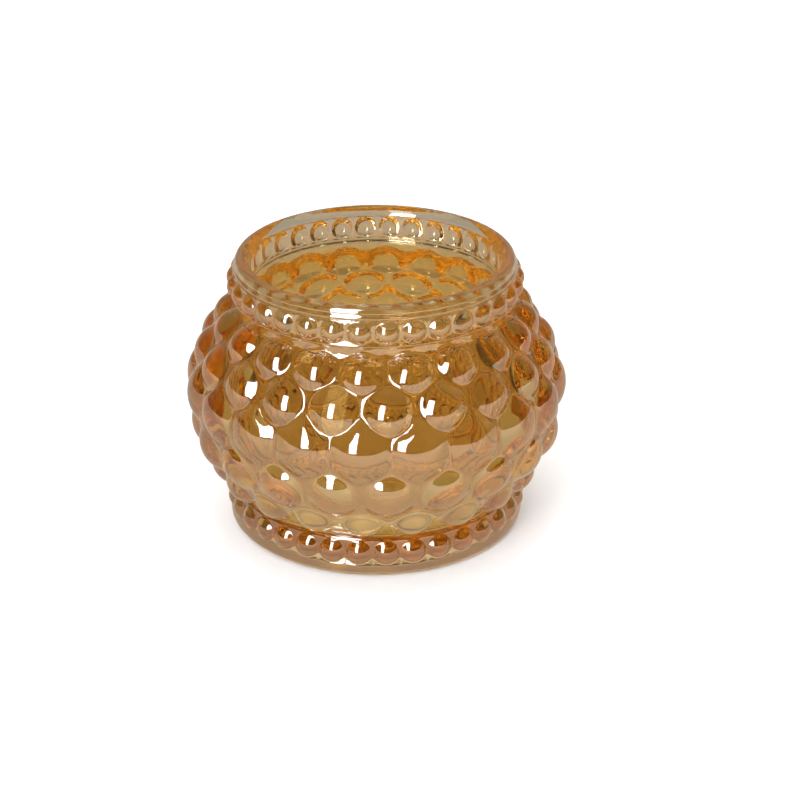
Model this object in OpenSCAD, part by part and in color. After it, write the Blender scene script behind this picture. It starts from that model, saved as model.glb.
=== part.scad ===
// Round pressed-glass tealight holder: a bulging bowl covered in staggered hobnails,
// with a beaded collar under its lip and a beaded foot.
// Millimetres, +Z up. The origin is the centre of the standing face.
// The glass is one moulding. Its zones are separate nodes that meet face to face.

/* [Height] */
// Overall height, from the standing face to the top of the lip
overall_h = 46.5; // [46:0.5:50]
// Height of the foot, up to the ledge that the bowl rises from
foot_h = 7; // [6.8:0.1:7.4]
// Height of the beaded collar between the shoulder and the lip
collar_h = 4.5; // [4.2:0.1:5]
// Height of the plain lip above the collar
lip_h = 2.2; // [2:0.1:2.6]

/* [Mouth] */
// Radius of the straight inner wall of the mouth, which a tealight passes through
mouth_r = 20.4; // [20.2:0.1:20.6]
// Thickness of the lip, which is rounded over its top
lip_t = 2.5; // [2.2:0.1:2.6]
// Outside radius of the collar between its beads
collar_r = 23.2; // [23:0.1:23.6]
// Height of the small ridges at the lip's and the collar's lower edges
ridge_d = 0.7; // [0.4:0.1:0.8]

/* [Bowl] */
// Radius of the arc that the outside of the bowl follows from foot to shoulder
bowl_arc_r = 20.6; // [20.4:0.1:21]
// Outside radius of the bowl at its widest, without hobnails
belly_r = 29.9; // [29.6:0.1:30.4]
// Height of the widest part of the bowl
belly_z = 22.5; // [22:0.1:23]
// Thickness of the bowl's wall
wall_t = 3; // [2.6:0.1:3.2]
// Outside radius of the short straight throat under the collar
throat_r = 22.8; // [22.6:0.1:23]

/* [Floor and foot] */
// Radius of the round well that the tealight stands in
well_r = 20; // [19.9:0.1:20.2]
// Fillet between the well's side and its floor
well_fillet = 0.8; // [0.5:0.1:1]
// Height of the inside floor above the standing face
floor_z = 5; // [4:0.1:5.4]
// Depth of the shallow recess under the floor
recess_h = 1; // [0.5:0.1:1.5]
// Outside radius of the foot between its beads
foot_r = 24.1; // [24:0.1:24.4]
// Outside radius of the foot's lower edge, under the beads
foot_edge_r = 24.7; // [24.5:0.1:25]

/* [Beads] */
// Beads round the collar, and as many round the foot
bead_count = 34; // [28:1:34]
// Diameter of a collar bead where it leaves the collar
collar_bead_d = 3.8; // [3.2:0.1:3.9]
// Diameter of a foot bead where it leaves the foot
foot_bead_d = 4.1; // [3.4:0.1:4.2]
// How far the beads stand out
bead_rise = 1.1; // [0.8:0.1:1.2]
// Turn of the first collar bead from the front, in degrees
collar_bead_turn = 4.3; // [-5:0.1:5]
// Turn of the first foot bead from the front, in degrees
foot_bead_turn = 3.7; // [-5:0.1:5]

/* [Hobnails] */
// Hobnails in each of the five rows
hobnail_count = 20; // [16:1:20]
// Turn of the first hobnail of rows 1, 3 and 5 from the front, in degrees
hobnail_turn = -4.9; // [-9:0.1:9]
// Height of row 1, the top row, on the bowl's arc
row_1_z = 36.3; // [36.2:0.1:36.6]
// Diameter of a row 1 hobnail where it leaves the wall
row_1_d = 6.9; // [6:0.1:6.9]
// Height of row 2
row_2_z = 31.1; // [31:0.1:31.3]
// Diameter of a row 2 hobnail
row_2_d = 7.6; // [7:0.1:7.6]
// Height of row 3, the large hobnails that run into each other round the belly
row_3_z = 25; // [24.8:0.1:25.2]
// Diameter of a row 3 hobnail, before its neighbours cut it
row_3_d = 10.4; // [9.8:0.1:10.6]
// Height of row 4
row_4_z = 16.6; // [16.4:0.1:16.8]
// Diameter of a row 4 hobnail
row_4_d = 8.5; // [7.6:0.1:8.6]
// Height of row 5, the bottom row
row_5_z = 10.3; // [10.2:0.1:10.5]
// Diameter of a row 5 hobnail
row_5_d = 6.9; // [6.2:0.1:7]
// How far the hobnails stand out from the wall
hobnail_rise = 1.6; // [1.4:0.1:1.7]
// How far the large hobnails of row 3 stand out
belly_rise = 1.8; // [1.7:0.1:1.9]

/* [Hidden] */
$fn = 256;
dome_fn = 96;

// Heights where one zone of the moulding gives way to the next
lip_z = overall_h - lip_h;
collar_z = lip_z - collar_h;
shoulder_z = 31;
heel_z = 14;

// Centre and radii of the arcs that shape the bowl, outside and inside
arc_x = belly_r - bowl_arc_r;
inner_arc_r = bowl_arc_r - wall_t;

// Where the beads sit
collar_bead_z = collar_z + 2.4;
foot_bead_z = 4.2;
foot_edge_h = 1.4;
foot_toe = 1.1;
foot_ledge = 0.5;

// Mean curvature radius of the wall under a hobnail, used to size its sphere
wall_mean_r = 24;
// Larger than any radius and height of the holder
reach = 60;

// Radius of the sphere whose cap has this width and rise on a wall of this curvature
function dome_r(d, rise, base_r) =
    let (full_rise = rise + d * d / 8 / base_r)
    (d * d / 4 + full_rise * full_rise) / (2 * full_rise);

// Angle up the bowl's arc at a height
function arc_angle(z) = asin((z - belly_z) / bowl_arc_r);

// The outline of everything outside, filled to the axis, without hobnails and beads
module outer_outline() {
    intersection() {
        translate([arc_x, belly_z]) circle(r = bowl_arc_r);
        translate([0, foot_h]) square([reach, collar_z - foot_h]);
    }
    translate([0, foot_h]) square([arc_x, collar_z - foot_h]);
    translate([0, row_1_z]) square([throat_r, collar_z - row_1_z]);
    translate([0, collar_z]) square([collar_r, collar_h]);
    translate([collar_r, collar_z + ridge_d / 2]) circle(d = ridge_d);
    lip_outline();
    foot_outline();
}

// The lip, filled to the axis: a straight band with a round top and a ridge at its foot
module lip_outline() {
    translate([0, lip_z]) square([mouth_r + lip_t, lip_h - lip_t / 2]);
    translate([0, lip_z]) square([mouth_r + lip_t / 2, lip_h]);
    translate([mouth_r + lip_t / 2, overall_h - lip_t / 2]) circle(d = lip_t);
    translate([mouth_r + lip_t, lip_z + ridge_d / 2]) circle(d = ridge_d);
}

// The foot, filled to the axis: a bevelled toe, a lower edge, the bead band and a ledge
module foot_outline() {
    polygon([
        [0, 0],
        [foot_edge_r - foot_toe, 0],
        [foot_edge_r, foot_toe],
        [foot_edge_r, foot_edge_h],
        [foot_r, foot_edge_h + foot_edge_r - foot_r],
        [foot_r, foot_h - foot_ledge],
        [foot_r - foot_ledge, foot_h],
        [0, foot_h],
    ]);
}

// The outline of the hollow inside: the well, the bulge and the straight mouth
module cup_outline() {
    translate([0, floor_z]) square([well_r - well_fillet, belly_z - floor_z]);
    translate([0, floor_z + well_fillet]) square([well_r, belly_z - floor_z - well_fillet]);
    translate([well_r - well_fillet, floor_z + well_fillet]) circle(r = well_fillet);
    intersection() {
        translate([arc_x, belly_z]) circle(r = inner_arc_r);
        translate([0, foot_h]) square([reach, collar_z - foot_h]);
    }
    translate([0, belly_z]) square([mouth_r, overall_h - belly_z - lip_t / 2]);
    difference() {
        translate([0, overall_h - lip_t / 2]) square([mouth_r + lip_t / 2, reach]);
        translate([mouth_r + lip_t / 2, overall_h - lip_t / 2]) circle(d = lip_t);
    }
}

// The part of the glass wall between two heights, turned about the axis
module wall_zone(low_z, high_z) {
    rotate_extrude() difference() {
        intersection() {
            outer_outline();
            translate([0, low_z]) square([reach, high_z - low_z]);
        }
        cup_outline();
    }
}

// The outside of the bowl as one filled solid, which the hobnails are cut by
module bowl_solid() {
    rotate_extrude() intersection() {
        outer_outline();
        square([reach, lip_z]);
    }
}

// A ring of whole spheres whose caps stand out from the bowl's arc at a height
module hobnail_spheres(z, d, rise, turn) {
    sphere_r = dome_r(d, rise, wall_mean_r);
    centre_arc_r = bowl_arc_r + rise - sphere_r;
    for (i = [0 : hobnail_count - 1])
        rotate([0, 0, turn - 90 + i * 360 / hobnail_count])
            translate([
                arc_x + centre_arc_r * cos(arc_angle(z)),
                0,
                belly_z + centre_arc_r * sin(arc_angle(z))
            ])
                sphere(r = sphere_r, $fn = dome_fn);
}

// A row of hobnails: only the caps that stand out from the bowl
module hobnail_row(z, d, rise, turn) {
    difference() {
        hobnail_spheres(z, d, rise, turn);
        bowl_solid();
    }
}

// A ring of beads that stand out from an upright band
module bead_row(band_r, z, d, turn) {
    sphere_r = dome_r(d, bead_rise, band_r * 2);
    difference() {
        for (i = [0 : bead_count - 1])
            rotate([0, 0, turn - 90 + i * 360 / bead_count])
                translate([band_r + bead_rise - sphere_r, 0, z])
                    sphere(r = sphere_r, $fn = dome_fn);
        cylinder(r = band_r, h = overall_h);
    }
}

// Half a step round a row, by which rows 2 and 4 are staggered
half_step = 180 / hobnail_count;

module lip() {
    color("wheat") wall_zone(lip_z, overall_h);
}

module collar() {
    color("burlywood") wall_zone(collar_z, lip_z);
}

module collar_beads() {
    color("sandybrown") bead_row(collar_r, collar_bead_z, collar_bead_d, collar_bead_turn);
}

module shoulder() {
    color("goldenrod") wall_zone(shoulder_z, collar_z);
}

module belly() {
    color("darkgoldenrod") wall_zone(heel_z, shoulder_z);
}

module heel() {
    color("goldenrod") wall_zone(foot_h, heel_z);
}

// The round floor that the tealight stands on, with the shallow recess under it
module floor() {
    color("wheat")
        translate([0, 0, recess_h])
            cylinder(r = well_r - well_fillet, h = floor_z - recess_h);
}

// The foot round the floor, from the standing face to the ledge
module foot_ring() {
    color("peru") difference() {
        wall_zone(0, foot_h);
        cylinder(r = well_r - well_fillet, h = floor_z);
    }
}

module foot_beads() {
    color("sandybrown") bead_row(foot_r, foot_bead_z, foot_bead_d, foot_bead_turn);
}

module hobnails_row_1() {
    color("orange") hobnail_row(row_1_z, row_1_d, hobnail_rise, hobnail_turn);
}

module hobnails_row_2() {
    color("darkorange") hobnail_row(row_2_z, row_2_d, hobnail_rise, hobnail_turn + half_step);
}

// The largest hobnails reach up between those of row 2, which cut into them
module hobnails_row_3() {
    color("orange") difference() {
        hobnail_row(row_3_z, row_3_d, belly_rise, hobnail_turn);
        hobnail_spheres(row_2_z, row_2_d, hobnail_rise, hobnail_turn + half_step);
    }
}

module hobnails_row_4() {
    color("darkorange") hobnail_row(row_4_z, row_4_d, hobnail_rise, hobnail_turn + half_step);
}

// The lowest hobnails are overlapped by those of row 4
module hobnails_row_5() {
    color("orange") difference() {
        hobnail_row(row_5_z, row_5_d, hobnail_rise, hobnail_turn);
        hobnail_spheres(row_4_z, row_4_d, hobnail_rise, hobnail_turn + half_step);
    }
}

lip();
collar();
collar_beads();
shoulder();
belly();
heel();
floor();
foot_ring();
foot_beads();
hobnails_row_1();
hobnails_row_2();
hobnails_row_3();
hobnails_row_4();
hobnails_row_5();
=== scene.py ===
"""A pressed-glass tealight holder with hobnails and bead bands, in a small studio.

The glass is one moulding, so it is one closed mesh: an outline turned about the +Z axis, in
which bands of cells carry the hobnails and the beads. Lengths in the size classes are in
millimetres, as a glass maker gives them, and meshes are in metres.
"""

from __future__ import annotations

import logging
import math
from dataclasses import dataclass, field
from enum import Enum
from typing import Union

import bmesh
import bpy
import numpy as np
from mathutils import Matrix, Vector

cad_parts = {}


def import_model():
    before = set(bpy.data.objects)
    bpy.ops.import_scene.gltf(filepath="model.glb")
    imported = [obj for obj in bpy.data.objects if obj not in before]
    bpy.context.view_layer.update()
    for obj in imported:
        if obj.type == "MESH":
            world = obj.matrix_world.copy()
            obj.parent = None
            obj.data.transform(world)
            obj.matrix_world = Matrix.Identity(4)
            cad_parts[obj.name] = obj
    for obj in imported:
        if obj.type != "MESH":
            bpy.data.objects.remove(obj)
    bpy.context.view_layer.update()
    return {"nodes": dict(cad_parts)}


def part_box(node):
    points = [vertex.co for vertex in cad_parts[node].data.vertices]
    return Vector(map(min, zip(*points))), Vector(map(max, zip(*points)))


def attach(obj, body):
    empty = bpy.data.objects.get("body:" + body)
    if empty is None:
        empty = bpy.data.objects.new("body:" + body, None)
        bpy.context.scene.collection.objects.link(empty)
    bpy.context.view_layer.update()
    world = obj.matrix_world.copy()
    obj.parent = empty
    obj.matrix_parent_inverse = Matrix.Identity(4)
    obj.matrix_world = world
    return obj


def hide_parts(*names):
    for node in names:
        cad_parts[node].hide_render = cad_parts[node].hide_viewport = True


LOG = logging.getLogger("tealight_holder")
MM = 0.001
Array = np.ndarray
BLACK = (0.0, 0.0, 0.0, 1.0)
# The point that the camera and the lamps are set round, in metres.
AIM = (0.0, 0.0, 0.0231)
# The least outward part of the normal, and the heights in millimetres between which it fades in.
LUSTRE_TURN = -0.2
LUSTRE_FADE = (0.2, 1.0)
# Each slow wave in the glass: its radians a millimetre along X, Y and Z, and its phase.
WAVES: Array = np.array([
    (0.11, 0.0, 0.07, 0.8),
    (0.0, 0.13, -0.05, 2.1),
    (0.09, 0.09, 0.12, 0.0),
])


# ---- Shader expressions ------------------------------------------

Value = Union["Wire", float]
Colour = tuple[float, float, float, float]
Stops = tuple[tuple[float, Colour], ...]


@dataclass(frozen=True)
class Wire:
    """An output socket that can be used in arithmetic, which adds Math nodes."""

    sketch: "NodeSketch"
    socket: bpy.types.NodeSocket

    def _math(self, operation: str, *values: Value) -> "Wire":
        """Adds one Math node and returns its output."""
        inputs = {index: value for index, value in enumerate(values)}
        return self.sketch.node("ShaderNodeMath", {"operation": operation}, inputs)

    def __add__(self, other: Value) -> "Wire":
        """Sum of two values."""
        return self._math("ADD", self, other)

    def __radd__(self, other: Value) -> "Wire":
        """Sum with a number on the left."""
        return self._math("ADD", other, self)

    def __sub__(self, other: Value) -> "Wire":
        """Difference of two values."""
        return self._math("SUBTRACT", self, other)

    def __rsub__(self, other: Value) -> "Wire":
        """Difference with a number on the left."""
        return self._math("SUBTRACT", other, self)

    def __mul__(self, other: Value) -> "Wire":
        """Product of two values."""
        return self._math("MULTIPLY", self, other)

    def __rmul__(self, other: Value) -> "Wire":
        """Product with a number on the left."""
        return self._math("MULTIPLY", other, self)

    def clamped(self) -> "Wire":
        """The value held between 0 and 1."""
        return self._math("MINIMUM", self._math("MAXIMUM", self, 0.0), 1.0)


class NodeSketch:
    """The node tree of one material, written as expressions."""

    def __init__(self, material: bpy.types.Material) -> None:
        """Empties the tree of a material.

        Args:
            material: the material whose nodes are written.
        """
        material.use_nodes = True
        self.tree = material.node_tree
        self.tree.nodes.clear()

    def node(self, kind: str, settings: dict, inputs: dict, output: Union[int, str] = 0) -> Wire:
        """Adds one node.

        Args:
            kind: the node's type name.
            settings: properties that are set before its sockets.
            inputs: socket name or index to a number, a colour or a Wire.
            output: name or index of the output that is returned.

        Returns:
            The wanted output as a Wire.
        """
        made = self.tree.nodes.new(kind)
        for name, value in settings.items():
            if name == "stops":
                self._set_stops(made, value)
            else:
                setattr(made, name, value)
        for key, value in inputs.items():
            if isinstance(value, Wire):
                self.tree.links.new(value.socket, made.inputs[key])
            else:
                made.inputs[key].default_value = value
        return Wire(self, made.outputs[output])

    @staticmethod
    def _set_stops(ramp: bpy.types.Node, stops: Stops) -> None:
        """Gives a colour ramp its stops.

        Args:
            ramp: the ramp's node.
            stops: a position and a colour for each stop.
        """
        elements = ramp.color_ramp.elements
        while len(elements) < len(stops):
            elements.new(1.0)
        for element, (position, colour) in zip(elements, stops):
            element.position = position
            element.color = colour

    def place(self) -> Wire:
        """Object coordinates, in metres."""
        return self.node("ShaderNodeTexCoord", {}, {}, "Object")

    def noise(self, size_mm: float, detail: float = 2.0, roughness: float = 0.5) -> Wire:
        """Soft noise between 0 and 1.

        Args:
            size_mm: size of one blotch.
            detail: octaves of finer noise.
            roughness: strength of the finer octaves.

        Returns:
            The noise value.
        """
        inputs = {
            "Vector": self.place(),
            "Scale": 1.0 / (size_mm * MM),
            "Detail": detail,
            "Roughness": roughness,
        }
        return self.node("ShaderNodeTexNoise", {}, inputs, 0)

    def mix_colours(
        self, factor: Value, first: Union[Wire, Colour], second: Union[Wire, Colour]
    ) -> Wire:
        """Blend of two colours.

        Args:
            factor: 0 gives the first colour and 1 the second.
            first: a colour, or a Wire that carries one.
            second: a colour, or a Wire that carries one.

        Returns:
            The blended colour.
        """
        settings = {"data_type": "RGBA"}
        return self.node("ShaderNodeMix", settings, {0: factor, 6: first, 7: second}, 2)

    def bump(self, height: Wire, depth_mm: float) -> Wire:
        """Normal of a relief.

        Args:
            height: relief between 0 and 1.
            depth_mm: depth of the relief from 0 to 1.

        Returns:
            The normal.
        """
        inputs = {"Strength": 1.0, "Distance": depth_mm * MM, "Height": height}
        return self.node("ShaderNodeBump", {}, inputs)

    def finish(self, surface: Wire, volume: Wire | None = None) -> None:
        """Connects the shaders to the material's output.

        Args:
            surface: shader of the surface.
            volume: shader of what the surface encloses.
        """
        inputs = {"Surface": surface}
        if volume is not None:
            inputs["Volume"] = volume
        output = self.tree.nodes.new("ShaderNodeOutputMaterial")
        for name, wire in inputs.items():
            self.tree.links.new(wire.socket, output.inputs[name])


# ---- Finishes ----------------------------------------------------


@dataclass(frozen=True)
class LustreGlass:
    """Amber pressed glass with a thin, bright lustre fired onto its outside.

    Most of the colour is a stain on the surfaces, strong on the bowl, nearly clear on the rim
    and weak at the foot. The body takes some blue and green as well, so the long ways inside
    the hobnails look deep orange. The standing face is ground matt.
    """

    name: str = "amber_lustre_glass"
    index: float = 1.52
    absorption: Colour = (0.95, 0.80, 0.28, 1.0)
    absorption_per_m: float = 105.0
    bowl_stain: Colour = (0.94, 0.73, 0.37, 1.0)
    deep_stain: Colour = (0.92, 0.68, 0.30, 1.0)
    rim_stain: Colour = (0.97, 0.93, 0.92, 1.0)
    rim_low_mm: float = 38.5
    rim_high_mm: float = 43.0
    foot_fade_mm: float = 3.4
    foot_fade: float = 0.8
    coat_index: float = 2.5
    coat_roughness: float = 0.02
    coat_least: float = 0.85
    coat_cloud: float = 0.3
    cloud_mm: float = 18.0
    ripple_mm: float = 9.0
    ripple_depth_mm: float = 0.012
    skin_mm: float = 1.6
    skin_depth_mm: float = 0.0005
    polish: float = 0.004
    skin_roughness: float = 0.02
    ground_mm: float = 0.2
    ground_roughness: float = 0.55

    def build(self) -> bpy.types.Material:
        """Makes the material.

        Returns:
            The finished glass.
        """
        material = bpy.data.materials.new(self.name)
        sketch = NodeSketch(material)
        outside = sketch.node("ShaderNodeAttribute", {"attribute_name": "outside"}, {}, "Fac")
        cloud = sketch.noise(self.cloud_mm, detail=3.0)
        ripple = sketch.noise(self.ripple_mm, detail=1.0, roughness=0.4)
        skin = sketch.noise(self.skin_mm, detail=2.0, roughness=0.6)
        relief = ripple * self.ripple_depth_mm + skin * self.skin_depth_mm
        normal = sketch.bump(relief, 1.0)
        height = sketch.node("ShaderNodeSeparateXYZ", {}, {0: sketch.place()}, "Z")
        span = self.rim_high_mm - self.rim_low_mm
        clear = (height * (1 / MM / span) - self.rim_low_mm / span).clamped()
        clear = clear + (1 - height * (1 / MM / self.foot_fade_mm)).clamped() * self.foot_fade
        ground = (1 - height * (1 / MM / self.ground_mm)).clamped()
        bowl = sketch.mix_colours(cloud, self.bowl_stain, self.deep_stain)
        inputs = {
            "Base Color": sketch.mix_colours(clear, bowl, self.rim_stain),
            "Roughness": self.polish + skin * self.skin_roughness + ground * self.ground_roughness,
            "IOR": self.index,
            "Transmission Weight": 1.0,
            "Coat Weight": (outside * (self.coat_least + cloud * self.coat_cloud)).clamped(),
            "Coat IOR": self.coat_index,
            "Coat Roughness": self.coat_roughness,
            "Normal": normal,
        }
        surface = sketch.node("ShaderNodeBsdfPrincipled", {}, inputs)
        body = {"Color": self.absorption, "Density": self.absorption_per_m}
        sketch.finish(surface, sketch.node("ShaderNodeVolumeAbsorption", {}, body))
        return material


@dataclass(frozen=True)
class Glow:
    """A surface that only shines, as painted light, with colours that change from its front to its
    back.
    """

    name: str
    stops: Stops
    grain_mm: float
    grain: float
    blotch_low: float = 0.3
    blotch_gain: float = 2.5

    def build(self, depth_m: float) -> bpy.types.Material:
        """Makes the material.

        Args:
            depth_m: distance from its front to its back, with the holder's axis half-way.

        Returns:
            The finished glow.
        """
        material = bpy.data.materials.new(self.name)
        sketch = NodeSketch(material)
        along = sketch.node("ShaderNodeSeparateXYZ", {}, {0: sketch.place()}, "Y")
        share = (along * (1.0 / depth_m) + 0.5).clamped()
        ramp = sketch.node("ShaderNodeValToRGB", {"stops": self.stops}, {0: share})
        grain = sketch.noise(self.grain_mm, detail=4.0, roughness=0.6)
        blotch = ((grain - self.blotch_low) * self.blotch_gain).clamped() * self.grain
        inputs = {
            "Base Color": BLACK,
            "Specular IOR Level": 0.0,
            "Emission Color": sketch.mix_colours(blotch, ramp, BLACK),
            "Emission Strength": 1.0,
        }
        sketch.finish(sketch.node("ShaderNodeBsdfPrincipled", {}, inputs))
        material.cycles.emission_sampling = "NONE"
        return material


@dataclass(frozen=True)
class SeamlessPaper:
    """Matt white paper of the studio sweep, with a faint tooth."""

    name: str = "seamless_paper"
    colour: Colour = (0.86, 0.855, 0.85, 1.0)
    shade: Colour = (0.84, 0.835, 0.83, 1.0)
    roughness: float = 0.9
    shine: float = 0.1
    tooth_mm: float = 1.0

    def build(self) -> bpy.types.Material:
        """Makes the material.

        Returns:
            The finished paper.
        """
        material = bpy.data.materials.new(self.name)
        sketch = NodeSketch(material)
        tooth = sketch.noise(self.tooth_mm, detail=3.0)
        inputs = {
            "Base Color": sketch.mix_colours(tooth, self.colour, self.shade),
            "Roughness": self.roughness,
            "Specular IOR Level": self.shine,
        }
        sketch.finish(sketch.node("ShaderNodeBsdfPrincipled", {}, inputs))
        return material


# ---- The glass ---------------------------------------------------


@dataclass
class Patch:
    """Part of the glass surface: vertices, triangles and how far each vertex is outside."""

    points: Array
    triangles: Array
    outside: Array


@dataclass(frozen=True)
class HolderSizes:
    """Driving dimensions of the moulding, in millimetres."""

    overall_h: float
    lip_z: float
    collar_z: float
    foot_h: float
    floor_z: float
    recess_h: float
    mouth_r: float = 20.4
    lip_t: float = 2.5
    collar_r: float = 23.2
    ridge_r: float = 0.35
    throat_r: float = 22.8
    belly_r: float = 29.9
    belly_z: float = 22.5
    bowl_arc_r: float = 20.6
    wall_t: float = 3.0
    well_r: float = 20.0
    well_fillet: float = 0.8
    foot_r: float = 24.1
    foot_edge_r: float = 24.7
    foot_edge_h: float = 1.7
    foot_toe: float = 0.9
    foot_flare: float = 0.3
    foot_flare_h: float = 1.0
    foot_ledge: float = 0.5
    recess_r: float = 19.2
    recess_slope: float = 0.2

    @classmethod
    def from_frame(cls) -> "HolderSizes":
        """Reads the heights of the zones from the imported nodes.

        Returns:
            The sizes, with the zone heights of the frame.
        """
        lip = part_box("lip")
        return cls(
            overall_h=lip[1][2] / MM,
            lip_z=lip[0][2] / MM,
            collar_z=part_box("collar")[0][2] / MM,
            foot_h=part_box("foot_ring")[1][2] / MM,
            floor_z=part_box("floor")[1][2] / MM,
            recess_h=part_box("floor")[0][2] / MM,
        )

    @property
    def arc_x(self) -> float:
        """Distance of the bowl arc's centre from the axis."""
        return self.belly_r - self.bowl_arc_r

    def arc_angle(self, z: float) -> float:
        """Angle up the bowl's arc, in radians, at a height."""
        return math.asin((z - self.belly_z) / self.bowl_arc_r)


class Outline:
    """The glass in section, from the middle of its underside round to its inside floor.

    The corners are softened: each point is the mean of its neighbours, weighted by a bell
    curve of their distance along the line, as hot glass rounds the edges of its mould.
    """

    STEP = 0.04
    SOFTNESS = 0.22
    BELL_REACH = 4
    ARC_POINTS = 160
    RIPPLE = 0.05
    RIPPLE_GAP = 0.45
    RIPPLE_MARGIN = 0.5
    UNDERSIDE_SHARE = 12

    def __init__(self, sizes: HolderSizes) -> None:
        """Draws the outline.

        Args:
            sizes: the holder's dimensions.
        """
        self.sizes = sizes
        corners = np.concatenate([self._underside(), self._wall_up(), self._inside_down()])
        self.line = self._rippled(self._softened(self._resampled(corners)))
        self.travel = self._travelled(self.line)
        slope = np.gradient(self.line, self.travel, axis=0)
        slope /= np.hypot(slope[:, 0], slope[:, 1])[:, None]
        self.normals = np.stack([slope[:, 1], -slope[:, 0]], 1)
        self.turn_index = int(np.argmax(self.line[:, 1]))

    @staticmethod
    def _travelled(line: Array) -> Array:
        """Distance of each point along a line from its start."""
        return np.concatenate([[0.0], np.cumsum(np.hypot(*np.diff(line, axis=0).T))])

    def _resampled(self, line: Array) -> Array:
        """Points a step apart along a line.

        Args:
            line: corner points, as radius and height.

        Returns:
            The new points.
        """
        travel = self._travelled(line)
        wanted = np.linspace(0.0, travel[-1], int(travel[-1] / self.STEP) + 1)
        return np.stack([np.interp(wanted, travel, line[:, k]) for k in (0, 1)], 1)

    def _softened(self, line: Array) -> Array:
        """The line with its corners rounded.

        Args:
            line: points a step apart.

        Returns:
            The bell-weighted mean round each point, with each end of the line turned through
            its end point so that it stays there.
        """
        reach = int(self.BELL_REACH * self.SOFTNESS / self.STEP)
        offsets = np.arange(-reach, reach + 1) * self.STEP
        weights = np.exp(-0.5 * (offsets / self.SOFTNESS) ** 2)
        weights /= weights.sum()
        ahead = 2 * line[0] - line[reach:0:-1]
        behind = 2 * line[-1] - line[-2 : -reach - 2 : -1]
        padded = np.concatenate([ahead, line, behind])
        return np.stack([np.convolve(padded[:, k], weights, "valid") for k in (0, 1)], 1)

    def _arc(self, centre: tuple[float, float], radius: float, start: float, end: float) -> Array:
        """Points round a circle between two angles in radians."""
        angle = np.linspace(start, end, self.ARC_POINTS)
        return np.stack([centre[0] + radius * np.cos(angle), centre[1] + radius * np.sin(angle)], 1)

    def _rippled(self, line: Array) -> Array:
        """The line with the mould's fine turning marks on the outside of the lip.

        Args:
            line: the outline's points.

        Returns:
            The points, drawn in by a sine of the height that fades out at both ends.
        """
        s = self.sizes
        length = s.overall_h - s.lip_z - 2 * self.RIPPLE_MARGIN
        share = (line[:, 1] - s.lip_z - self.RIPPLE_MARGIN) / length
        fade = np.clip(share * (1 - share) * 4, 0.0, 1.0) * (line[:, 0] > s.mouth_r + s.lip_t / 2)
        depth = self.RIPPLE * fade * (1 - np.cos(2 * math.pi * line[:, 1] / self.RIPPLE_GAP)) / 2
        return line - np.stack([depth, np.zeros(len(depth))], 1)

    def _underside(self) -> Array:
        """Recess, standing face and foot, up to the ledge.

        Returns:
            Corner points, as radius and height.
        """
        s = self.sizes
        return np.array([
            (0.0, s.recess_h),
            (s.recess_r - s.recess_slope, s.recess_h),
            (s.recess_r + s.recess_slope, 0.0),
            (s.foot_edge_r - s.foot_toe, 0.0),
            (s.foot_edge_r, s.foot_toe),
            (s.foot_edge_r, s.foot_edge_h),
            (s.foot_r + s.foot_flare, s.foot_edge_h + s.foot_flare_h),
            (s.foot_r, s.foot_edge_h + 2 * s.foot_flare_h),
            (s.foot_r, s.foot_h - s.foot_ledge),
            (s.foot_r - s.foot_ledge, s.foot_h),
        ])

    def _wall_up(self) -> Array:
        """Bowl, throat, collar and lip, from the ledge to the top of the lip.

        Returns:
            Corner points, as radius and height.
        """
        s = self.sizes
        centre = (s.arc_x, s.belly_z)
        top = math.acos((s.throat_r - s.arc_x) / s.bowl_arc_r)
        bowl = self._arc(centre, s.bowl_arc_r, s.arc_angle(s.foot_h), top)
        low_ridge = (s.collar_r, s.collar_z + s.ridge_r)
        high_ridge = (s.mouth_r + s.lip_t, s.lip_z + s.ridge_r)
        round_lip = (s.mouth_r + s.lip_t / 2, s.overall_h - s.lip_t / 2)
        quarter = math.pi / 2
        return np.concatenate([
            bowl,
            [(s.throat_r, s.collar_z)],
            self._arc(low_ridge, s.ridge_r, -quarter, quarter),
            [(s.collar_r, s.lip_z)],
            self._arc(high_ridge, s.ridge_r, -quarter, quarter),
            self._arc(round_lip, s.lip_t / 2, 0.0, 2 * quarter),
        ])

    def _inside_down(self) -> Array:
        """Mouth, bulge, well and floor, from the lip down to the axis.

        Returns:
            Corner points, as radius and height.
        """
        s = self.sizes
        inner_r = s.bowl_arc_r - s.wall_t
        top = math.acos((s.mouth_r - s.arc_x) / inner_r)
        low = -math.acos((s.well_r - s.arc_x) / inner_r)
        corner = (s.well_r - s.well_fillet, s.floor_z + s.well_fillet)
        return np.concatenate([
            self._arc((s.arc_x, s.belly_z), inner_r, top, low),
            self._arc(corner, s.well_fillet, 0.0, -math.pi / 2),
            [(0.0, s.floor_z)],
        ])

    def outside_at(self, z: float) -> float:
        """Distance along the outline of the outside point at a height above the foot's edge."""
        half = slice(len(self.travel) // self.UNDERSIDE_SHARE, self.turn_index)
        return float(np.interp(z, self.line[half, 1], self.travel[half]))

    def at(self, travel: Array) -> tuple[Array, Array, Array, Array]:
        """Place and normal on the outline.

        Args:
            travel: distances along the outline.

        Returns:
            Radius, height, radial part of the normal and upward part of the normal.
        """
        place = [np.interp(travel, self.travel, self.line[:, k]) for k in (0, 1)]
        normal = [np.interp(travel, self.travel, self.normals[:, k]) for k in (0, 1)]
        length = np.hypot(*normal)
        return place[0], place[1], normal[0] / length, normal[1] / length


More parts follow.
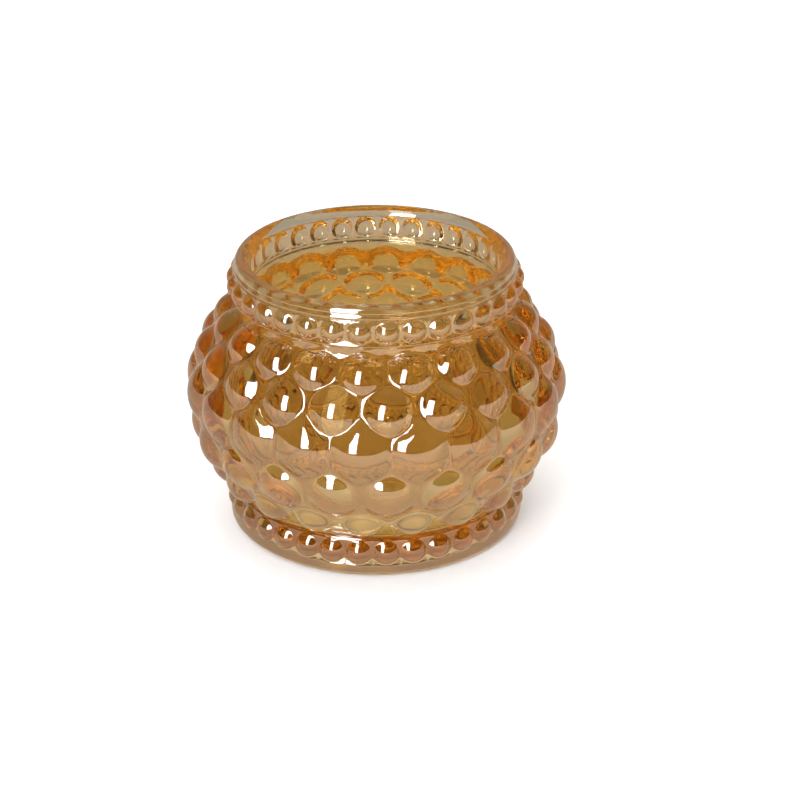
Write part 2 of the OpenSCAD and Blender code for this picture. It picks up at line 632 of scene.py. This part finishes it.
@dataclass(frozen=True)
class DomeRow:
    """A ring of equal domes, each the cap of a sphere that stands out from the wall."""

    count: int
    turn: float
    centre_r: float
    centre_z: float
    sphere_r: float
    cap_r: float
    wall_r: float
    wall_z: float
    wall_travel: float
    moat: float = 0.0

    @property
    def step(self) -> float:
        """Angle from one dome to the next, in radians."""
        return 2 * math.pi / self.count

    def angles(self) -> Array:
        """Angles of the domes from +X, in radians."""
        return self.turn + np.arange(self.count) * self.step

    def ring(self, radius: float, height: float) -> Array:
        """Points round the axis, one for each dome.

        Args:
            radius: their distance from the axis.
            height: their height.

        Returns:
            The points.
        """
        angle = self.angles()
        flat = [radius * np.cos(angle), radius * np.sin(angle)]
        return np.stack([*flat, np.full(self.count, height)], 1)

    def centres(self) -> Array:
        """Centres of the spheres."""
        return self.ring(self.centre_r, self.centre_z)


def sphere_radius(width: float, rise: float, wall_curve: float) -> float:
    """Radius of the sphere whose cap has this width and rise on a curved wall.

    Args:
        width: width of the cap where it leaves the wall.
        rise: height of the cap over the wall.
        wall_curve: radius of the wall's own curve.

    Returns:
        The sphere's radius: half the width squared plus the whole sagitta squared, over
        twice the sagitta.
    """
    sagitta = rise + width * width / 8 / wall_curve
    return (width * width / 4 + sagitta * sagitta) / (2 * sagitta)


@dataclass(frozen=True)
class Hobnails:
    """The five staggered rows of hobnails on the bowl, listed from the bottom up."""

    count: int = 20
    turn_deg: float = -4.9
    heights: tuple[float, ...] = (10.3, 16.6, 25.0, 31.1, 36.3)
    widths: tuple[float, ...] = (6.9, 8.5, 10.4, 7.6, 6.9)
    rises: tuple[float, ...] = (1.6, 1.6, 1.8, 1.6, 1.6)
    moats: tuple[float, ...] = (0.0, 0.0, 0.0, 1.5, 0.0)
    wall_curve: float = 24.0
    low_z: float = 7.75
    high_z: float = 38.9

    def rows(self, outline: Outline) -> list[DomeRow]:
        """Places the rows on the bowl's arc.

        Args:
            outline: the glass in section.

        Returns:
            One DomeRow for each row, bottom row first.
        """
        sizes = outline.sizes
        made = []
        sides = zip(self.heights, self.widths, self.rises, self.moats)
        for index, (z, width, rise, moat) in enumerate(sides):
            ball = sphere_radius(width, rise, self.wall_curve)
            angle = sizes.arc_angle(z)
            reach = sizes.bowl_arc_r + rise - ball
            stagger = 0.5 if index % 2 else 0.0
            turn = math.radians(self.turn_deg - 90.0) + stagger * 2 * math.pi / self.count
            made.append(DomeRow(
                count=self.count,
                turn=turn,
                centre_r=sizes.arc_x + reach * math.cos(angle),
                centre_z=sizes.belly_z + reach * math.sin(angle),
                sphere_r=ball,
                wall_travel=outline.outside_at(z),
                wall_r=sizes.arc_x + sizes.bowl_arc_r * math.cos(angle),
                cap_r=width / 2,
                wall_z=z,
                moat=moat,
            ))
        return made


@dataclass(frozen=True)
class Beads:
    """A ring of beads round an upright band."""

    band_r: float
    z: float
    width: float
    turn_deg: float
    low_z: float
    high_z: float
    count: int = 34
    rise: float = 1.1
    wall_curves: float = 2.0

    def rows(self, outline: Outline) -> list[DomeRow]:
        """Places the ring on its band.

        Args:
            outline: the glass in section.

        Returns:
            The ring, as a list of one row.
        """
        ball = sphere_radius(self.width, self.rise, self.band_r * self.wall_curves)
        return [DomeRow(
            count=self.count,
            turn=math.radians(self.turn_deg - 90.0),
            centre_r=self.band_r + self.rise - ball,
            centre_z=self.z,
            sphere_r=ball,
            wall_travel=outline.outside_at(self.z),
            wall_r=self.band_r,
            cap_r=self.width / 2,
            wall_z=self.z,
        )]


@dataclass(frozen=True)
class CellGrid:
    """How finely one dome's cell is divided."""

    across: int
    upright: int
    dome_rings: int
    web_rings: int


class DomedBand:
    """A band of the wall in which every dome has a six-sided cell of its own.

    A cell is a polar grid: rings round the dome, a sine of their number apart, then rings that
    turn from the circle into the cell's border, which is shared with the cells beside it.
    """

    NO_DOME = -99.0
    CIRCLE_OVER_CAP = 1.07
    CIRCLE_IN_CELL = 0.94
    WEB_CROWDING = 1.3

    def __init__(
        self,
        outline: Outline,
        rows: list[DomeRow],
        low_z: float,
        high_z: float,
        grid: CellGrid,
        blend: float,
    ) -> None:
        """Sets the band's place.

        Args:
            outline: the glass in section.
            rows: the rows of domes, bottom row first.
            low_z: height of the band's lower edge.
            high_z: height of the band's upper edge.
            grid: how finely a cell is divided.
            blend: width of the fillets where domes meet the wall, in millimetres.
        """
        self.outline = outline
        self.rows = rows
        self.low = outline.outside_at(low_z)
        self.high = outline.outside_at(high_z)
        self.grid = grid
        self.blend = blend
        self.centres = np.concatenate([row.centres() for row in rows])
        self.balls = np.concatenate([np.full(row.count, row.sphere_r) for row in rows])
        self.owners = np.concatenate([np.full(row.count, i) for i, row in enumerate(rows)])

    def edge_angles(self) -> Array:
        """Where the vertices lie along the band's straight edges.

        Returns:
            Their angles, the first at a cell's border.
        """
        row = self.rows[0]
        segments = row.count * 2 * self.grid.across
        start = row.turn - row.step / 2
        return start + np.arange(segments) * 2 * math.pi / segments

    def _surface(self, angle: Array, travel: Array) -> Array:
        """Points of the domed surface.

        The surface stands over the wall by the blend width times the logarithm of the sum of
        exp(height / blend width), over the wall itself, whose height is 0, and every dome. So
        it follows the highest of them, and rounds the valleys between them. A row with a
        moat keeps its round feet clear: the domes of the row below it rise from them no
        steeper than the moat's slope.

        Args:
            angle: angles round the axis.
            travel: distances along the outline.

        Returns:
            The points.
        """
        r, z, out, up = self.outline.at(travel)
        wall = np.stack([r * np.cos(angle), r * np.sin(angle), z], -1)
        normal = np.stack([out * np.cos(angle), out * np.sin(angle), up], -1)
        offset = wall[:, None, :] - self.centres[None, :, :]
        along = np.einsum("vdk,vk->vd", offset, normal)
        room = along**2 - (offset**2).sum(-1) + self.balls**2
        height = np.where(room > 0, np.sqrt(np.maximum(room, 0.0)) - along, self.NO_DOME)
        for index, row in enumerate(self.rows[1:], 1):
            if row.moat > 0:
                feet = row.ring(row.wall_r, row.wall_z)
                gap = np.linalg.norm(wall[:, None, :] - feet[None, :, :], axis=-1).min(1)
                limit = (gap - row.cap_r) * row.moat
                below = self.owners == index - 1
                blend, lower = self.blend, height[:, below]
                height[:, below] = -blend * np.logaddexp(-lower / blend, -limit[:, None] / blend)
        rise = self.blend * np.log1p(np.exp(height / self.blend).sum(1))
        return wall + normal * rise[:, None]

    def _borders(self, index: int) -> tuple[float, float, float, float]:
        """Heights of the corners of a row's cells, as distances along the outline.

        Between two rows the border is the line from which both domes' feet are equally far,
        as tangents measure it, so that each cell holds its own dome.

        Args:
            index: number of the row, from 0 at the bottom.

        Returns:
            Lower border at the dome and at the cell's sides, then upper border at the cell's
            sides and at the dome.
        """
        row = self.rows[index]
        low_mid = low_side = self.low
        high_mid = high_side = self.high
        if index > 0:
            low_side, low_mid = self._zigzag(self.rows[index - 1], row)
        if index + 1 < len(self.rows):
            high_mid, high_side = self._zigzag(row, self.rows[index + 1])
        return low_mid, low_side, high_side, high_mid

    @staticmethod
    def _zigzag(lower: DomeRow, upper: DomeRow) -> tuple[float, float]:
        """Where the border between two rows turns.

        Args:
            lower: the row below the border.
            upper: the row above it.

        Returns:
            Distance along the outline over a lower dome, and under an upper one.
        """
        rise = upper.wall_travel - lower.wall_travel
        half = (lower.wall_r + upper.wall_r) / 2 * lower.step / 2
        reach = (rise**2 + half**2 + lower.cap_r**2 - upper.cap_r**2) / 2
        return lower.wall_travel + reach / rise, lower.wall_travel + (reach - half**2) / rise

    def _cell(self, index: int) -> tuple[Array, Array]:
        """One cell of a row, with its dome at the row's first angle.

        Args:
            index: number of the row, from 0 at the bottom.

        Returns:
            Points of the centre and the rings, and triangles.
        """
        row, grid = self.rows[index], self.grid
        low_mid, low_side, high_side, high_mid = self._borders(index)
        half = row.step / 2
        corners = [
            (half, low_side, grid.upright),
            (half, high_side, grid.across),
            (0.0, high_mid, grid.across),
            (-half, high_side, grid.upright),
            (-half, low_side, grid.across),
            (0.0, low_mid, grid.across),
        ]
        edges = []
        for (x0, y0, parts), (x1, y1, _) in zip(corners, corners[1:] + corners[:1]):
            part = np.arange(parts) / parts
            edges.append(np.stack([x0 + (x1 - x0) * part, y0 + (y1 - y0) * part], 1))
        border = np.concatenate(edges) - (0.0, row.wall_travel)
        flat = border * (row.wall_r, 1.0)
        length = np.hypot(flat[:, 0], flat[:, 1])
        circle = np.minimum(row.cap_r * self.CIRCLE_OVER_CAP, length * self.CIRCLE_IN_CELL) / length
        inner = np.sin(np.arange(1, grid.dome_rings + 1) / grid.dome_rings * math.pi / 2)
        outer = (np.arange(1, grid.web_rings + 1) / grid.web_rings) ** self.WEB_CROWDING
        shares = np.concatenate([
            inner[:, None] * circle[None, :],
            circle[None, :] + outer[:, None] * (1 - circle)[None, :],
        ])
        rings = shares[:, :, None] * border[None, :, :]
        angle = np.concatenate([[0.0], rings[:, :, 0].ravel()]) + row.turn
        travel = np.concatenate([[0.0], rings[:, :, 1].ravel()]) + row.wall_travel
        return self._surface(angle, travel), polar_triangles(len(border), len(shares))

    def patch(self) -> Patch:
        """The whole band.

        Returns:
            The patch of all cells, each row's cell turned round the axis.
        """
        patches = []
        for index, row in enumerate(self.rows):
            points, triangles = self._cell(index)
            turns = np.arange(row.count) * row.step
            patches.append(turned_copies(points, triangles, turns))
        return joined(patches)


def cell_corners(rings: int, around: int, first: int = 0) -> tuple[Array, Array, Array, Array]:
    """Vertex numbers at the corners of the cells between closed rings of vertices.

    Args:
        rings: number of rings.
        around: vertices round each ring.
        first: number of the first vertex.

    Returns:
        A vertex, the next one round its ring, and the same two on the ring after it.
    """
    here = np.arange(around)
    start = (np.arange(rings - 1) * around + first)[:, None]
    a, b = start + here, start + (here + 1) % around
    return a, b, a + around, b + around


def polar_triangles(sectors: int, rings: int) -> Array:
    """Triangles of a polar grid with vertex 0 in the middle.

    Args:
        sectors: vertices round each ring.
        rings: number of rings.

    Returns:
        Triangles that turn anticlockwise, a fan in the middle and two for each cell outside.
    """
    here = np.arange(sectors)
    fan = np.stack([np.zeros(sectors, int), here + 1, (here + 1) % sectors + 1], 1)
    a, b, c, d = cell_corners(rings, sectors, 1)
    first = np.stack([a, c, d], -1).reshape(-1, 3)
    second = np.stack([a, d, b], -1).reshape(-1, 3)
    return np.concatenate([fan, first, second])


def turned_copies(points: Array, triangles: Array, turns: Array) -> Patch:
    """Copies of a patch turned about the axis.

    Args:
        points: vertices of one copy.
        triangles: triangles of one copy.
        turns: the angle of each copy.

    Returns:
        One patch of all the copies, all of it outside glass.
    """
    cos, sin = np.cos(turns)[:, None], np.sin(turns)[:, None]
    x = cos * points[:, 0] - sin * points[:, 1]
    y = sin * points[:, 0] + cos * points[:, 1]
    z = np.broadcast_to(points[:, 2], x.shape)
    moved = np.stack([x, y, z], -1).reshape(-1, 3)
    shift = (np.arange(len(turns)) * len(points))[:, None, None]
    return Patch(moved, (triangles[None] + shift).reshape(-1, 3), np.ones(len(moved)))


def joined(patches: list[Patch]) -> Patch:
    """Several patches as one, with nothing merged.

    Args:
        patches: the patches, in order.

    Returns:
        The one patch.
    """
    starts = np.cumsum([0] + [len(patch.points) for patch in patches[:-1]])
    return Patch(
        np.concatenate([patch.points for patch in patches]),
        np.concatenate([patch.triangles + start for patch, start in zip(patches, starts)]),
        np.concatenate([patch.outside for patch in patches]),
    )


def turned_strip(outline: Outline, travel: Array, angles: Array) -> Patch:
    """A stretch of the outline turned about the axis.

    The lustre lies where the glass faces outwards below the top of the lip, and it fades out
    towards the standing face.

    Args:
        outline: the glass in section.
        travel: distances along the outline, one for each ring.
        angles: angles of the vertices round a ring.

    Returns:
        The patch.
    """
    r, z, out, _ = outline.at(travel)
    cos, sin = np.cos(angles), np.sin(angles)
    level = np.repeat(z[:, None], len(angles), 1)
    grid = np.stack([r[:, None] * cos, r[:, None] * sin, level], -1)
    a, b, c, d = cell_corners(len(travel), len(angles))
    first = np.stack([a, b, d], -1).reshape(-1, 3)
    second = np.stack([a, d, c], -1).reshape(-1, 3)
    peak = outline.travel[outline.turn_index]
    coated = ((travel <= peak) & (out > LUSTRE_TURN)) * np.interp(z, LUSTRE_FADE, (0.0, 1.0))
    outside = np.repeat(coated[:, None], len(angles), 1)
    return Patch(grid.reshape(-1, 3), np.concatenate([first, second]), outside.ravel())


def stitched(
    outline: Outline, low: float, low_angles: Array, high: float, high_angles: Array
) -> Patch:
    """A strip of triangles between two rings with different numbers of vertices.

    Each edge of a ring is joined to the vertex of the other ring that its middle has reached.

    Args:
        outline: the glass in section.
        low: distance along the outline of the lower ring.
        low_angles: angles of the lower ring's vertices.
        high: distance along the outline of the upper ring.
        high_angles: angles of the upper ring's vertices.

    Returns:
        The patch.
    """
    whole = 2 * math.pi
    below, above = np.sort(low_angles % whole), np.sort(high_angles % whole)
    middle_below = below + whole / len(below) / 2
    middle_above = above + whole / len(above) / 2
    reached_above = np.searchsorted(middle_above, middle_below) % len(above)
    reached_below = np.searchsorted(middle_below, middle_above) % len(below)
    i, j = np.arange(len(below)), np.arange(len(above))
    offset = len(below)
    upward = np.stack([i, (i + 1) % len(below), offset + reached_above], 1)
    downward = np.stack([offset + (j + 1) % len(above), offset + j, reached_below], 1)
    rings = []
    for travel, angle in ((low, below), (high, above)):
        r, z, _, _ = outline.at(np.array([travel]))
        level = np.full(len(angle), z[0])
        rings.append(np.stack([r * np.cos(angle), r * np.sin(angle), level], 1))
    points = np.concatenate(rings)
    return Patch(points, np.concatenate([upward, downward]), np.ones(len(points)))


@dataclass
class GlassHolder:
    """The moulding: bowl with hobnails, beaded collar, lip, floor and beaded foot."""

    sizes: HolderSizes
    finish: LustreGlass = field(default_factory=LustreGlass)
    hobnails: Hobnails = field(default_factory=Hobnails)
    hobnail_grid: CellGrid = CellGrid(across=7, upright=7, dome_rings=9, web_rings=3)
    bead_grid: CellGrid = CellGrid(across=4, upright=5, dome_rings=6, web_rings=2)
    hobnail_blend: float = 0.22
    bead_blend: float = 0.13
    ring_gap: float = 0.9
    inside_gap: float = 2.0
    underside_gap: float = 2.2
    rings_per_radian: float = 3.2
    stitch: float = 0.3
    pole_r: float = 0.02
    weld: float = 0.002
    waver: float = 0.05

    def collar_beads(self) -> Beads:
        """The beads round the collar.

        Returns:
            Their ring, with the band that it fills.
        """
        s = self.sizes
        return Beads(
            band_r=s.collar_r,
            z=s.collar_z + 2.4,
            width=3.8,
            turn_deg=4.3,
            low_z=s.collar_z + 0.42,
            high_z=s.lip_z - 0.08,
        )

    def foot_beads(self) -> Beads:
        """The beads round the foot.

        Returns:
            Their ring, with the band that it fills.
        """
        s = self.sizes
        return Beads(
            band_r=s.foot_r, z=4.2, width=4.1, turn_deg=3.7, low_z=2.08, high_z=s.foot_h - 0.6
        )

    def _rings(self, outline: Outline, start: float, end: float, gap: float) -> Array:
        """Distances along the outline for rings, closer together where the outline bends.

        Args:
            outline: the glass in section.
            start: first distance.
            end: last distance.
            gap: gap between rings on a straight stretch.

        Returns:
            The distances, spaced evenly in length plus a share of the angle turned.
        """
        inside = (outline.travel > start) & (outline.travel < end)
        travel = np.concatenate([[start], outline.travel[inside], [end]])
        _, _, out, up = outline.at(travel)
        heading = np.unwrap(np.arctan2(up, out))
        cost = np.diff(travel) / gap + np.abs(np.diff(heading)) * self.rings_per_radian
        cost = np.concatenate([[0.0], np.cumsum(cost)])
        wanted = np.linspace(0.0, cost[-1], max(2, int(round(cost[-1])) + 1))
        return np.interp(wanted, cost, travel)

    def _patches(self) -> list[Patch]:
        """Every patch of the closed surface.

        Returns:
            The patches, from the underside over the lip to the inside floor.
        """
        outline = Outline(self.sizes)
        foot, bowl, collar = (
            DomedBand(outline, part.rows(outline), part.low_z, part.high_z, grid, blend)
            for part, grid, blend in (
                (self.foot_beads(), self.bead_grid, self.bead_blend),
                (self.hobnails, self.hobnail_grid, self.hobnail_blend),
                (self.collar_beads(), self.bead_grid, self.bead_blend),
            )
        )
        foot_angles, bowl_angles, collar_angles = (
            band.edge_angles() for band in (foot, bowl, collar)
        )
        underside = self._rings(outline, self.pole_r, foot.low, self.underside_gap)
        ledge = self._rings(outline, foot.high, bowl.low - self.stitch, self.ring_gap)
        throat = self._rings(outline, bowl.high + self.stitch, collar.low, self.ring_gap)
        last = outline.travel[-1] - self.pole_r
        inside = self._rings(outline, collar.high, last, self.inside_gap)
        return [
            turned_strip(outline, underside, foot_angles),
            foot.patch(),
            turned_strip(outline, ledge, foot_angles),
            stitched(outline, ledge[-1], foot_angles, bowl.low, bowl_angles),
            bowl.patch(),
            stitched(outline, bowl.high, bowl_angles, throat[0], collar_angles),
            turned_strip(outline, throat, collar_angles),
            collar.patch(),
            turned_strip(outline, inside, collar_angles),
        ]

    def _wavered(self, points: Array) -> Array:
        """The points moved in by a few hundredths, as glass is never quite true.

        Args:
            points: vertices in millimetres.

        Returns:
            The points drawn towards the axis by a slow wave, the mean of three sines.
        """
        wave = np.sin(points @ WAVES[:, :3].T + WAVES[:, 3]).mean(1)
        share = 1 - self.waver * (1 + wave) / 2 / self.sizes.belly_r
        return points * np.stack([share, share, np.ones(len(share))], 1)

    def build(self) -> bpy.types.Object:
        """Makes the closed glass mesh with its finish.

        Returns:
            The glass object.
        """
        patch = joined(self._patches())
        mesh = bpy.data.meshes.new("glass_moulding")
        points = self._wavered(patch.points) * MM
        mesh.from_pydata(points.tolist(), [], patch.triangles.tolist())
        mask = mesh.attributes.new("outside", "FLOAT", "POINT")
        mask.data.foreach_set("value", patch.outside.astype(np.float32))
        self._weld(mesh)
        mesh.shade_smooth()
        mesh.materials.append(self.finish.build())
        glass = bpy.data.objects.new("glass_moulding", mesh)
        bpy.context.scene.collection.objects.link(glass)
        return glass

    def _weld(self, mesh: bpy.types.Mesh) -> None:
        """Joins the patches where they share a border and closes both poles.

        Args:
            mesh: the mesh, with its patches still apart.
        """
        work = bmesh.new()
        work.from_mesh(mesh)
        bmesh.ops.remove_doubles(work, verts=work.verts, dist=self.weld * MM)
        rims = [edge for edge in work.edges if edge.is_boundary]
        bmesh.ops.holes_fill(work, edges=rims, sides=0)
        bmesh.ops.triangulate(work, faces=[face for face in work.faces if len(face.verts) > 3])
        open_edges = sum(1 for edge in work.edges if not edge.is_manifold)
        LOG.info("glass: %d triangles, %d open edges", len(work.faces), open_edges)
        work.to_mesh(mesh)
        work.free()


# ---- Studio ------------------------------------------------------


@dataclass(frozen=True)
class StudioSweep:
    """White paper that lies on the table and curves up behind the holder. Metres."""

    width: float = 5.0
    front: float = -2.6
    bend_start: float = 0.9
    bend_r: float = 0.35
    bend_points: int = 17
    top: float = 1.5
    paper: SeamlessPaper = SeamlessPaper()

    def build(self) -> None:
        """Makes the sweep, hides it from glossy and transmission rays, and logs its name as
        staging.
        """
        angle = np.linspace(-math.pi / 2, 0.0, self.bend_points)
        bend = self.bend_r * np.stack([np.cos(angle), 1 + np.sin(angle)], 1)
        line = np.concatenate([
            [(self.front, 0.0)],
            bend + (self.bend_start, 0.0),
            [(self.bend_start + self.bend_r, self.top)],
        ])
        half = self.width / 2
        points = [(side, y, z) for y, z in line.tolist() for side in (-half, half)]
        faces = [(2 * i, 2 * i + 1, 2 * i + 3, 2 * i + 2) for i in range(len(line) - 1)]
        mesh = bpy.data.meshes.new("paper_sweep")
        mesh.from_pydata(points, [], faces)
        mesh.shade_smooth()
        mesh.materials.append(self.paper.build())
        sweep = bpy.data.objects.new("paper_sweep", mesh)
        sweep.visible_glossy = False
        sweep.visible_transmission = False
        bpy.context.scene.collection.objects.link(sweep)
        LOG.info("staging %s", sweep.name)


def turned_sheet(profile: Array, around: int) -> tuple[list, list]:
    """A line turned about the axis, as four-sided faces.

    Args:
        profile: radii and heights of the line's points.
        around: vertices round each ring.

    Returns:
        Vertices and faces.
    """
    angle = np.arange(around) * 2 * math.pi / around
    r, z = profile[:, :1], np.repeat(profile[:, 1:], around, 1)
    points = np.stack([r * np.cos(angle), r * np.sin(angle), z], -1)
    a, b, c, d = cell_corners(len(profile), around)
    faces = np.stack([a, c, d, b], -1)
    return points.reshape(-1, 3).tolist(), faces.reshape(-1, 4).tolist()


def seen_by_glass(name: str, points: list, faces: list, glow: bpy.types.Material) -> None:
    """Adds a glowing staging surface, painted light that is seen only through the glass and
    mirrored in it.

    Args:
        name: the object's name.
        points: its vertices in metres.
        faces: its faces.
        glow: its material.
    """
    mesh = bpy.data.meshes.new(name)
    mesh.from_pydata(points, [], faces)
    mesh.materials.append(glow)
    surface = bpy.data.objects.new(name, mesh)
    for ray in ("camera", "diffuse", "volume_scatter", "shadow"):
        setattr(surface, f"visible_{ray}", False)
    bpy.context.scene.collection.objects.link(surface)
    LOG.info("staging %s", name)


@dataclass(frozen=True)
class PaintedRoomSeenByGlass:
    """Painted light and reflections in the glass: a glowing table top with an edge in front, and a
    glowing room. Metres.
    """

    radius: float = 4.0
    turns: int = 48
    tilts: int = 25
    tilt_end: float = 1.55
    table_front: float = -0.19
    table_back: float = 1.0
    table_half: float = 0.9
    table_z: float = -0.0004
    ring_inner: float = 0.0212
    ring_outer: float = 0.0245
    ring_z: float = -0.0002
    # Painted room light and shade for the glass to mirror: nearly black in front, lighter towards
    # the back.
    painted_room_light: Glow = Glow(
        "painted_room_glow",
        stops=(
            (0.0, (0.03, 0.022, 0.016, 1.0)),
            (0.52, (0.05, 0.036, 0.024, 1.0)),
            (0.72, (0.13, 0.10, 0.07, 1.0)),
            (1.0, (0.34, 0.31, 0.26, 1.0)),
        ),
        grain_mm=600.0,
        grain=0.1,
    )
    # Painted reflection of a lit stone table top: bright and warm in front of the holder, dimmer
    # and greyer behind it. The grain is the stone's own.
    painted_stone_light: Glow = Glow(
        "painted_stone_table_glow",
        stops=(
            (0.0, (1.12, 0.95, 0.72, 1.0)),
            (0.46, (1.12, 0.95, 0.72, 1.0)),
            (0.485, (0.61, 0.54, 0.42, 1.0)),
            (0.53, (0.54, 0.50, 0.42, 1.0)),
            (1.0, (0.52, 0.53, 0.57, 1.0)),
        ),
        grain_mm=1.6,
        grain=0.16,
    )
    # Painted pool of light under the foot, in place of the light that the glass gathers onto the
    # paper there.
    painted_caustic_light: Glow = Glow(
        "painted_caustic_glow",
        stops=((0.0, (0.85, 0.72, 0.50, 1.0)), (1.0, (0.85, 0.72, 0.50, 1.0))),
        grain_mm=1.6,
        grain=0.4,
    )

    def build(self) -> None:
        """Makes the glowing table top, a painted pool of light under the foot, and the glowing
        ball-shaped room round it.
        """
        corners = [
            (side * self.table_half, y, self.table_z)
            for y, sides in ((self.table_front, (-1, 1)), (self.table_back, (1, -1)))
            for side in sides
        ]
        painted_stone_light = self.painted_stone_light.build(2 * self.table_back)
        seen_by_glass("painted_table_top", corners, [(0, 1, 2, 3)], painted_stone_light)
        ring = np.array([(self.ring_inner, self.ring_z), (self.ring_outer, self.ring_z)])
        glow = self.painted_caustic_light.build(2 * self.ring_outer)
        seen_by_glass("painted_caustic_ring", *turned_sheet(ring, 2 * self.turns), glow)
        tilt = np.linspace(-self.tilt_end, self.tilt_end, self.tilts)
        ball = self.radius * np.stack([np.cos(tilt), np.sin(tilt)], 1)
        glow = self.painted_room_light.build(2 * self.radius)
        seen_by_glass("painted_room_shell", *turned_sheet(ball, self.turns), glow)


class LampRole(Enum):
    """What a lamp is for, which decides the rays that see it."""

    WINDOW = "window"
    FILL = "fill"


@dataclass(frozen=True)
class Lamp:
    """A soft rectangular lamp aimed at the holder. Metres, degrees and watts."""

    name: str
    role: LampRole
    azimuth: float
    elevation: float
    distance: float
    width: float
    height: float
    power: float
    colour: tuple[float, float, float] = (1.0, 1.0, 1.0)

    def build(self, aim: Vector) -> None:
        """Makes the lamp.

        Args:
            aim: the point that it faces.
        """
        light = bpy.data.lights.new(self.name, "AREA")
        light.shape = "RECTANGLE"
        light.size, light.size_y = self.width, self.height
        light.energy = self.power
        light.color = self.colour
        lamp = bpy.data.objects.new(self.name, light)
        side, up = math.radians(self.azimuth), math.radians(self.elevation)
        back = Vector((math.sin(side) * math.cos(up), -math.cos(side) * math.cos(up), math.sin(up)))
        lamp.location = aim + back * self.distance
        lamp.rotation_euler = (-back).to_track_quat("-Z", "Y").to_euler()
        seen = self.role is LampRole.WINDOW
        lamp.visible_glossy = seen
        lamp.visible_transmission = seen
        lamp.visible_camera = False
        bpy.context.scene.collection.objects.link(lamp)
        LOG.info("lamp %s", self.name)


@dataclass(frozen=True)
class Studio:
    """The light round the holder: a tall window in front on the left, soft fill from above."""

    room: Colour = (1.12, 1.12, 1.12, 1.0)
    window: Lamp = Lamp(
        "tall_window",
        LampRole.WINDOW,
        azimuth=-25.0,
        elevation=22.0,
        distance=1.0,
        width=0.36,
        height=1.0,
        power=8.5,
        colour=(0.94, 0.96, 1.0),
    )
    overhead: Lamp = Lamp(
        "overhead_fill",
        LampRole.FILL,
        azimuth=0.0,
        elevation=82.0,
        distance=1.2,
        width=1.6,
        height=1.6,
        power=6.0,
    )
    backlight: Lamp = Lamp(
        "back_fill",
        LampRole.FILL,
        azimuth=180.0,
        elevation=40.0,
        distance=0.9,
        width=1.4,
        height=0.6,
        power=3.0,
    )

    def build(self, aim: Vector) -> None:
        """Makes the lamps and the world.

        Args:
            aim: the point that the lamps face.
        """
        for lamp in (self.window, self.overhead, self.backlight):
            lamp.build(aim)
        world = bpy.data.worlds.new("studio_room")
        world.use_nodes = True
        world.node_tree.nodes["Background"].inputs["Color"].default_value = self.room
        scene = bpy.context.scene
        scene.world = world
        scene.view_settings.view_transform = "Standard"
        scene.cycles.max_bounces = 24
        scene.cycles.transmission_bounces = 20
        scene.cycles.glossy_bounces = 12
        scene.cycles.transparent_max_bounces = 12
        scene.cycles.caustics_refractive = True
        scene.cycles.caustics_reflective = True
        scene.cycles.blur_glossy = 0.2
        scene.cycles.sample_clamp_indirect = 12.0
        scene.cycles.use_denoising = True


@dataclass(frozen=True)
class Viewpoint:
    """The camera. Degrees, metres and millimetres of lens."""

    elevation: float = 25.2
    distance: float = 0.3643
    lens: float = 98.4
    aside: float = 0.0040
    below: float = 0.0029
    clip_start: float = 0.01
    clip_end: float = 20.0

    def build(self, aim: Vector) -> None:
        """Makes the camera and sets it as the scene's.

        Args:
            aim: the point of the holder that lies near the middle of the view.
        """
        up = math.radians(self.elevation)
        back = Vector((0.0, -math.cos(up), math.sin(up)))
        data = bpy.data.cameras.new("camera")
        data.lens = self.lens
        camera = bpy.data.objects.new("camera", data)
        camera.location = aim + back * self.distance
        higher = Vector((0.0, math.sin(up), math.cos(up)))
        target = aim + Vector((self.aside, 0.0, 0.0)) - higher * self.below
        camera.rotation_euler = (target - camera.location).to_track_quat("-Z", "Y").to_euler()
        data.clip_start, data.clip_end = self.clip_start, self.clip_end
        bpy.context.scene.collection.objects.link(camera)
        bpy.context.scene.camera = camera


def main(frame: dict) -> None:
    """Builds the holder, its studio and its camera.
    """
    logging.basicConfig(level=logging.INFO, format="%(name)s: %(message)s")
    aim = Vector(AIM)
    Viewpoint().build(aim)
    glass = GlassHolder(HolderSizes.from_frame()).build()
    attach(glass, "root")
    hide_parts(*sorted(frame["nodes"]))
    LOG.info("piece %s", glass.name)
    StudioSweep().build()
    PaintedRoomSeenByGlass().build()
    Studio().build(aim)


if __name__ == "__main__":
    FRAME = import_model()
    main(FRAME)
